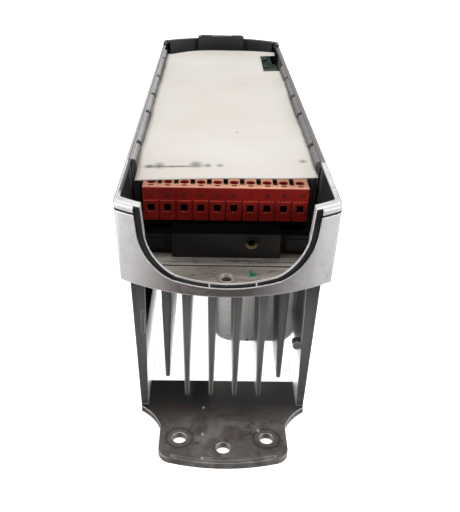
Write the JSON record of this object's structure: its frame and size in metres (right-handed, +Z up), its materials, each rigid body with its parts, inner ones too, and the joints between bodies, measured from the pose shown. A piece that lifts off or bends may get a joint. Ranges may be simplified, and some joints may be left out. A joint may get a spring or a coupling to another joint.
{
  "type": "servo drive",
  "caption": "Long narrow servo drive with its cover off: open cast tray with a wiring bay and screw terminal, on a finned heatsink with a drilled mounting foot at each end.",
  "frame": {"origin": "middle of the footprint, on the mounting plane under the feet", "axes": "+Z up out of the mounting plane, +Y along the length away from the wiring bay, +X across the width"},
  "size_m": [0.092, 0.3862, 0.112],
  "materials": {
    "tray_aluminium": "sandblasted die casting",
    "sink_aluminium": "smooth die casting, dulled",
    "black_rubber": "matt",
    "black_plastic": "moulded, fine grain",
    "grey_plastic": "moulded",
    "red_plastic": "moulded, satin gloss",
    "green_plastic": "moulded",
    "board_green": "solder mask",
    "ivory_sheet": "thin insulating sheet, satin",
    "brass": "turned",
    "zinc_steel": "zinc plated",
    "tinned_metal": "tinned",
    "chip_black": "moulded",
    "can_sleeve": "shrink sleeve",
    "copper_winding": "enamelled wire",
    "core_iron": "laminated, varnished",
    "white_plastic": "moulded",
    "blue_plastic": "moulded",
    "pad_grey": "soft pad"
  },
  "bodies": {
    "drive_body": {"tray_casting": "tray_aluminium", "heatsink_casting": "sink_aluminium", "cable_gasket": "black_rubber", "tray_screws": "zinc_steel", "set_screw": "zinc_steel", "end_liner": "black_plastic", "cover_catch": "black_plastic", "bay_bulkhead": "grey_plastic", "earth_insert": "brass", "terminal_header": "green_plastic", "header_pins": "tinned_metal", "power_board": "board_green", "lower_posts": "brass", "upper_posts": "brass", "choke_core": "core_iron", "choke_coil": "copper_winding", "pocket_pad": "pad_grey", "thermal_pad": "pad_grey", "power_module": "chip_black", "filter_choke": "copper_winding", "film_capacitors": "blue_plastic", "precharge_relay": "black_plastic", "switching_transformer": "core_iron", "shunt_resistors": "chip_black", "gate_drivers": "chip_black", "dc_link_capacitors": "can_sleeve", "control_board": "board_green", "board_screws": "zinc_steel", "board_link": "black_plastic", "processor": "chip_black", "memory_chips": "chip_black", "option_socket": "black_plastic", "window_chips": "chip_black", "insulation_sheet": "ivory_sheet", "sheet_studs": "white_plastic"},
    "terminal_plug": {"terminal_plug": "red_plastic"},
    "screw_01": {"terminal_screw_01": "zinc_steel"},
    "clamp_01": {"terminal_clamp_01": "tinned_metal"},
    "screw_02": {"terminal_screw_02": "zinc_steel"},
    "clamp_02": {"terminal_clamp_02": "tinned_metal"},
    "screw_03": {"terminal_screw_03": "zinc_steel"},
    "clamp_03": {"terminal_clamp_03": "tinned_metal"},
    "screw_04": {"terminal_screw_04": "zinc_steel"},
    "clamp_04": {"terminal_clamp_04": "tinned_metal"},
    "screw_05": {"terminal_screw_05": "zinc_steel"},
    "clamp_05": {"terminal_clamp_05": "tinned_metal"},
    "screw_06": {"terminal_screw_06": "zinc_steel"},
    "clamp_06": {"terminal_clamp_06": "tinned_metal"},
    "screw_07": {"terminal_screw_07": "zinc_steel"},
    "clamp_07": {"terminal_clamp_07": "tinned_metal"},
    "screw_08": {"terminal_screw_08": "zinc_steel"},
    "clamp_08": {"terminal_clamp_08": "tinned_metal"},
    "screw_09": {"terminal_screw_09": "zinc_steel"},
    "clamp_09": {"terminal_clamp_09": "tinned_metal"},
    "screw_10": {"terminal_screw_10": "zinc_steel"},
    "clamp_10": {"terminal_clamp_10": "tinned_metal"}
  },
  "joints": [
    {"name": "plug_slide", "type": "slide", "parent": "drive_body", "child": "terminal_plug", "axis": [0, -1, 0], "range_m": [0, 0.014]},
    {"name": "screw_turn_01", "type": "hinge", "parent": "terminal_plug", "child": "screw_01", "pos_m": [-0.03429, -0.1131, 0.0971], "axis": [0, 0, -1], "range_deg": [0, 1730]},
    {"name": "clamp_lift_01", "type": "slide", "parent": "terminal_plug", "child": "clamp_01", "axis": [0, 0, 1], "range_m": [0, 0.0024]},
    {"name": "screw_turn_02", "type": "hinge", "parent": "terminal_plug", "child": "screw_02", "pos_m": [-0.02667, -0.1131, 0.0971], "axis": [0, 0, -1], "range_deg": [0, 1730]},
    {"name": "clamp_lift_02", "type": "slide", "parent": "terminal_plug", "child": "clamp_02", "axis": [0, 0, 1], "range_m": [0, 0.0024]},
    {"name": "screw_turn_03", "type": "hinge", "parent": "terminal_plug", "child": "screw_03", "pos_m": [-0.01905, -0.1131, 0.0971], "axis": [0, 0, -1], "range_deg": [0, 1730]},
    {"name": "clamp_lift_03", "type": "slide", "parent": "terminal_plug", "child": "clamp_03", "axis": [0, 0, 1], "range_m": [0, 0.0024]},
    {"name": "screw_turn_04", "type": "hinge", "parent": "terminal_plug", "child": "screw_04", "pos_m": [-0.01143, -0.1131, 0.0971], "axis": [0, 0, -1], "range_deg": [0, 1730]},
    {"name": "clamp_lift_04", "type": "slide", "parent": "terminal_plug", "child": "clamp_04", "axis": [0, 0, 1], "range_m": [0, 0.0024]},
    {"name": "screw_turn_05", "type": "hinge", "parent": "terminal_plug", "child": "screw_05", "pos_m": [-0.00381, -0.1131, 0.0971], "axis": [0, 0, -1], "range_deg": [0, 1730]},
    {"name": "clamp_lift_05", "type": "slide", "parent": "terminal_plug", "child": "clamp_05", "axis": [0, 0, 1], "range_m": [0, 0.0024]},
    {"name": "screw_turn_06", "type": "hinge", "parent": "terminal_plug", "child": "screw_06", "pos_m": [0.00381, -0.1131, 0.0971], "axis": [0, 0, -1], "range_deg": [0, 1730]},
    {"name": "clamp_lift_06", "type": "slide", "parent": "terminal_plug", "child": "clamp_06", "axis": [0, 0, 1], "range_m": [0, 0.0024]},
    {"name": "screw_turn_07", "type": "hinge", "parent": "terminal_plug", "child": "screw_07", "pos_m": [0.01143, -0.1131, 0.0971], "axis": [0, 0, -1], "range_deg": [0, 1730]},
    {"name": "clamp_lift_07", "type": "slide", "parent": "terminal_plug", "child": "clamp_07", "axis": [0, 0, 1], "range_m": [0, 0.0024]},
    {"name": "screw_turn_08", "type": "hinge", "parent": "terminal_plug", "child": "screw_08", "pos_m": [0.01905, -0.1131, 0.0971], "axis": [0, 0, -1], "range_deg": [0, 1730]},
    {"name": "clamp_lift_08", "type": "slide", "parent": "terminal_plug", "child": "clamp_08", "axis": [0, 0, 1], "range_m": [0, 0.0024]},
    {"name": "screw_turn_09", "type": "hinge", "parent": "terminal_plug", "child": "screw_09", "pos_m": [0.02667, -0.1131, 0.0971], "axis": [0, 0, -1], "range_deg": [0, 1730]},
    {"name": "clamp_lift_09", "type": "slide", "parent": "terminal_plug", "child": "clamp_09", "axis": [0, 0, 1], "range_m": [0, 0.0024]},
    {"name": "screw_turn_10", "type": "hinge", "parent": "terminal_plug", "child": "screw_10", "pos_m": [0.03429, -0.1131, 0.0971], "axis": [0, 0, -1], "range_deg": [0, 1730]},
    {"name": "clamp_lift_10", "type": "slide", "parent": "terminal_plug", "child": "clamp_10", "axis": [0, 0, 1], "range_m": [0, 0.0024]}
  ],
  "couplings": [
    {"joint": "screw_turn_01", "follows": "clamp_lift_01", "rad_per_m": 12566},
    {"joint": "screw_turn_02", "follows": "clamp_lift_02", "rad_per_m": 12566},
    {"joint": "screw_turn_03", "follows": "clamp_lift_03", "rad_per_m": 12566},
    {"joint": "screw_turn_04", "follows": "clamp_lift_04", "rad_per_m": 12566},
    {"joint": "screw_turn_05", "follows": "clamp_lift_05", "rad_per_m": 12566},
    {"joint": "screw_turn_06", "follows": "clamp_lift_06", "rad_per_m": 12566},
    {"joint": "screw_turn_07", "follows": "clamp_lift_07", "rad_per_m": 12566},
    {"joint": "screw_turn_08", "follows": "clamp_lift_08", "rad_per_m": 12566},
    {"joint": "screw_turn_09", "follows": "clamp_lift_09", "rad_per_m": 12566},
    {"joint": "screw_turn_10", "follows": "clamp_lift_10", "rad_per_m": 12566}
  ]
}
